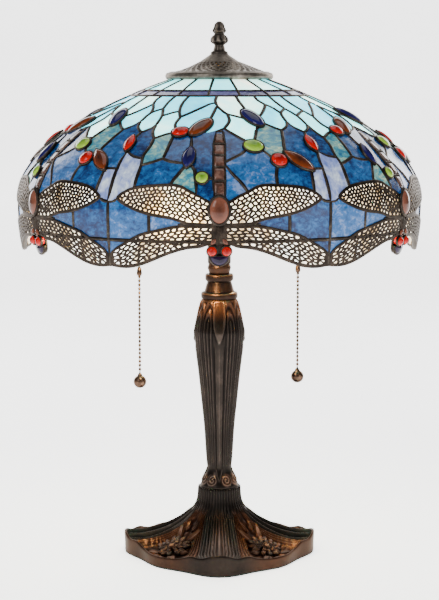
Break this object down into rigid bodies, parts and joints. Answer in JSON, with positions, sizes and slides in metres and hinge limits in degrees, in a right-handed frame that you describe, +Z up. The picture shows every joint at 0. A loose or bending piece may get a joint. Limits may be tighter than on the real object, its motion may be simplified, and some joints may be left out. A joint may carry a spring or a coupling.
{
  "type": "stained glass table lamp",
  "caption": "Table lamp with a leaded art-glass dragonfly shade on a cast bronze-finish column and lobed base, with two screw-base bulbs and pull chains.",
  "frame": {"origin": "on the table surface, under the middle of the base", "axes": "+Z up along the stem, -Y towards the front of the lamp, +X to the viewer's right"},
  "size_m": [0.4056, 0.4156, 0.541],
  "materials": {
    "felt": "dense wool felt",
    "base_bronze": "patinated dark bronze with copper rub on the relief",
    "column_bronze": "patinated dark bronze with copper highlights",
    "steel": "plain zinc-plated steel",
    "brass": "aged satin brass",
    "black_plastic": "moulded black",
    "contact_plate": "unglazed porcelain",
    "chain_bronze": "dark oiled bronze",
    "aqua_glass": "streaky opalescent, aqua and cream",
    "lavender_glass": "streaky opalescent, lavender and violet",
    "cobalt_glass": "mottled, cobalt to teal",
    "brown_glass": "dense amber brown",
    "pearl_glass": "pale iridescent, lightly rippled",
    "filigree_brass": "pierced sheet with dark patina",
    "lead": "solder bead with dark bronze patina",
    "purple_glass": "pressed cabochon, deep purple",
    "red_glass": "pressed cabochon, clear red",
    "amber_glass": "pressed cabochon, amber brown",
    "blue_glass": "pressed cabochon, deep blue",
    "green_glass": "pressed cabochon, leaf green",
    "cap_bronze": "satin grey bronze",
    "bulb_glass": "frosted, lit warm white",
    "bulb_metal": "threaded screw cap"
  },
  "bodies": {
    "root": {"felt_pad": "felt", "base_casting": "base_bronze", "base_nut": "brass", "base_washer": "steel", "ballast_plate": "steel", "base_spacer": "steel", "cord_bushing": "black_plastic", "stem_tube": "brass", "column_casting": "column_bronze", "neck_cone": "column_bronze", "neck_spindle": "column_bronze", "neck_sleeve": "column_bronze", "cluster_body": "brass", "riser_rod": "brass", "shade_seat_nut": "brass", "socket_cap_front": "brass", "socket_cap_back": "brass", "socket_shell_front": "brass", "socket_shell_back": "brass", "socket_liner_front": "black_plastic", "socket_liner_back": "black_plastic", "screw_shell_front": "brass", "screw_shell_back": "brass", "socket_contact_front": "contact_plate", "socket_contact_back": "contact_plate", "chain_guide_front": "chain_bronze", "chain_guide_back": "chain_bronze"},
    "shade": {"shade_spider": "brass", "shade_top_ring": "brass", "crown_glass": "aqua_glass", "band_glass": "lavender_glass", "petal_glass_upper": "aqua_glass", "petal_glass_lower": "aqua_glass", "field_glass": "cobalt_glass", "abdomen_glass": "brown_glass", "wing_glass_upper": "pearl_glass", "wing_glass_lower": "pearl_glass", "skirt_glass": "cobalt_glass", "wing_filigree_upper": "filigree_brass", "wing_filigree_lower": "filigree_brass", "thorax_glass": "brown_glass", "body_plates": "lead", "head_glass": "purple_glass", "eye_beads": "red_glass", "red_jewels": "red_glass", "amber_jewels": "amber_glass", "blue_jewels": "blue_glass", "green_jewels": "green_glass", "lead_rings": "lead", "lead_ribs": "lead", "rim_came": "lead", "vented_cap": "cap_bronze"},
    "finial": {"finial": "cap_bronze"},
    "bulb_front": {"bulb_front": "bulb_glass", "bulb_cap_front": "bulb_metal"},
    "bulb_back": {"bulb_back": "bulb_glass", "bulb_cap_back": "bulb_metal"},
    "pull_left": {"pull_chain_left": "chain_bronze"},
    "pull_right": {"pull_chain_right": "chain_bronze"}
  },
  "joints": [
    {"name": "shade_turn", "type": "hinge", "parent": "root", "child": "shade", "pos_m": [0, 0, 0.478], "axis": [0, 0, 1], "continuous": true},
    {"name": "finial_turn", "type": "hinge", "parent": "shade", "child": "finial", "pos_m": [0, 0, 0.515], "axis": [0, 0, 1], "continuous": true},
    {"name": "bulb_front_turn", "type": "hinge", "parent": "root", "child": "bulb_front", "pos_m": [-0.0233, -0.04886, 0.34374], "axis": [-0.4237, -0.8883, 0.1771], "continuous": true},
    {"name": "bulb_back_turn", "type": "hinge", "parent": "root", "child": "bulb_back", "pos_m": [0.0233, 0.04886, 0.34374], "axis": [0.4237, 0.8883, 0.1771], "continuous": true},
    {"name": "pull_left_slide", "type": "slide", "parent": "root", "child": "pull_left", "axis": [0, 0, -1], "range_m": [0, 0.012], "stiffness_N_per_m": 400, "springref_m": -0.004},
    {"name": "pull_right_slide", "type": "slide", "parent": "root", "child": "pull_right", "axis": [0, 0, -1], "range_m": [0, 0.012], "stiffness_N_per_m": 400, "springref_m": -0.004}
  ]
}
